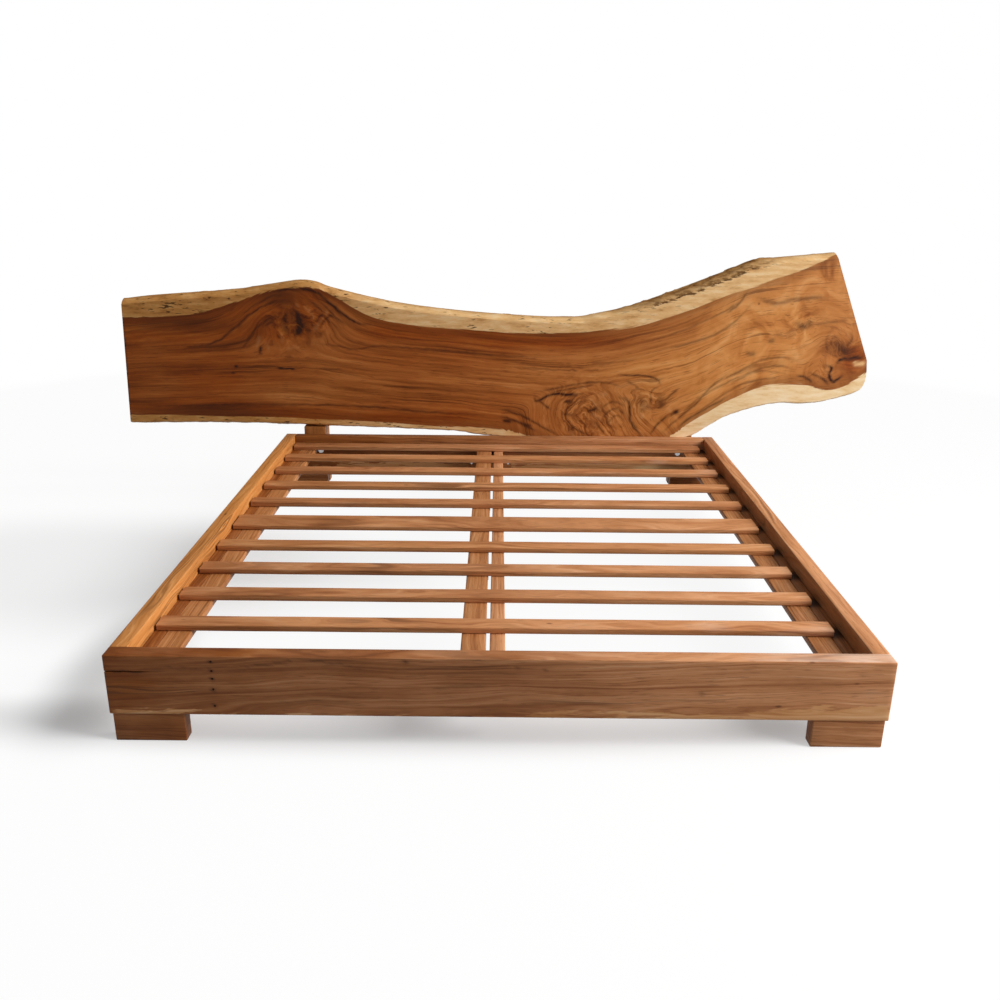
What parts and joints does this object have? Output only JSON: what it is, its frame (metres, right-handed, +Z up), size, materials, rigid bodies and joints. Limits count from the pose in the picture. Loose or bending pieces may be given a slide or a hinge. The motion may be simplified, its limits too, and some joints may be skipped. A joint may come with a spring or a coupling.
{
  "type": "king size bed",
  "caption": "Low king size platform bed of solid oiled hardwood, with plank rails, an open slat base and a wide live-edge slab headboard on posts behind the head rail.",
  "frame": {"origin": "on the floor at the middle of the bed frame, under the narrow centre beam's middle foot", "axes": "+Z up, +Y from the foot of the bed to its head, +X to the right seen from the foot"},
  "size_m": [3.5081, 2.2719, 1.1243],
  "materials": {
    "slab_wood": "oiled live-edge hardwood slab, golden brown heartwood with pale sapwood edges",
    "rail_wood": "oiled hardwood, sanded, brown with fine straight grain",
    "slat_wood": "oiled hardwood, reddish brown, lightly sanded",
    "block_wood": "plain sawn hardwood",
    "peg_wood": "dark filler and pegs, flush",
    "zinc_steel": "zinc plated, satin"
  },
  "bodies": {
    "root": {"foot_rail": "rail_wood", "head_rail": "rail_wood", "side_rail_left": "rail_wood", "side_rail_right": "rail_wood", "cleat_left": "rail_wood", "cleat_right": "rail_wood", "centre_beam_wide": "rail_wood", "centre_beam_narrow": "rail_wood", "corner_foot_foot_left": "rail_wood", "corner_foot_foot_right": "rail_wood", "corner_foot_head_left": "rail_wood", "corner_foot_head_right": "rail_wood", "headboard_post_left": "rail_wood", "headboard_post_right": "rail_wood", "slab_block_left": "rail_wood", "slab_block_right": "rail_wood", "ledger_left": "slat_wood", "ledger_right": "slat_wood", "slat_01": "slat_wood", "slat_02": "slat_wood", "slat_03": "slat_wood", "slat_04": "slat_wood", "slat_05": "slat_wood", "slat_06": "slat_wood", "slat_07": "slat_wood", "slat_08": "slat_wood", "slat_09": "slat_wood", "slat_10": "slat_wood", "headboard_slab": "slab_wood", "corner_block_foot_left": "block_wood", "corner_block_foot_right": "block_wood", "corner_block_head_left": "block_wood", "corner_block_head_right": "block_wood", "beam_block_foot": "block_wood", "beam_block_head": "block_wood", "centre_foot_wide_foot": "block_wood", "centre_foot_wide_middle": "block_wood", "centre_foot_wide_head": "block_wood", "centre_foot_narrow_foot": "block_wood", "centre_foot_narrow_middle": "block_wood", "centre_foot_narrow_head": "block_wood", "rail_peg_1": "peg_wood", "rail_peg_2": "peg_wood", "rail_peg_3": "peg_wood", "rail_peg_4": "peg_wood", "rail_peg_5": "peg_wood", "slab_lag_screw_left_1": "zinc_steel", "slab_lag_screw_left_2": "zinc_steel", "slab_lag_screw_right_1": "zinc_steel", "slab_lag_screw_right_2": "zinc_steel", "post_bolt_left_lower": "zinc_steel", "post_bolt_left_upper": "zinc_steel", "post_bolt_right_lower": "zinc_steel", "post_bolt_right_upper": "zinc_steel", "post_nut_left_lower": "zinc_steel", "post_nut_left_upper": "zinc_steel", "post_nut_right_lower": "zinc_steel", "post_nut_right_upper": "zinc_steel"}
  },
  "joints": []
}
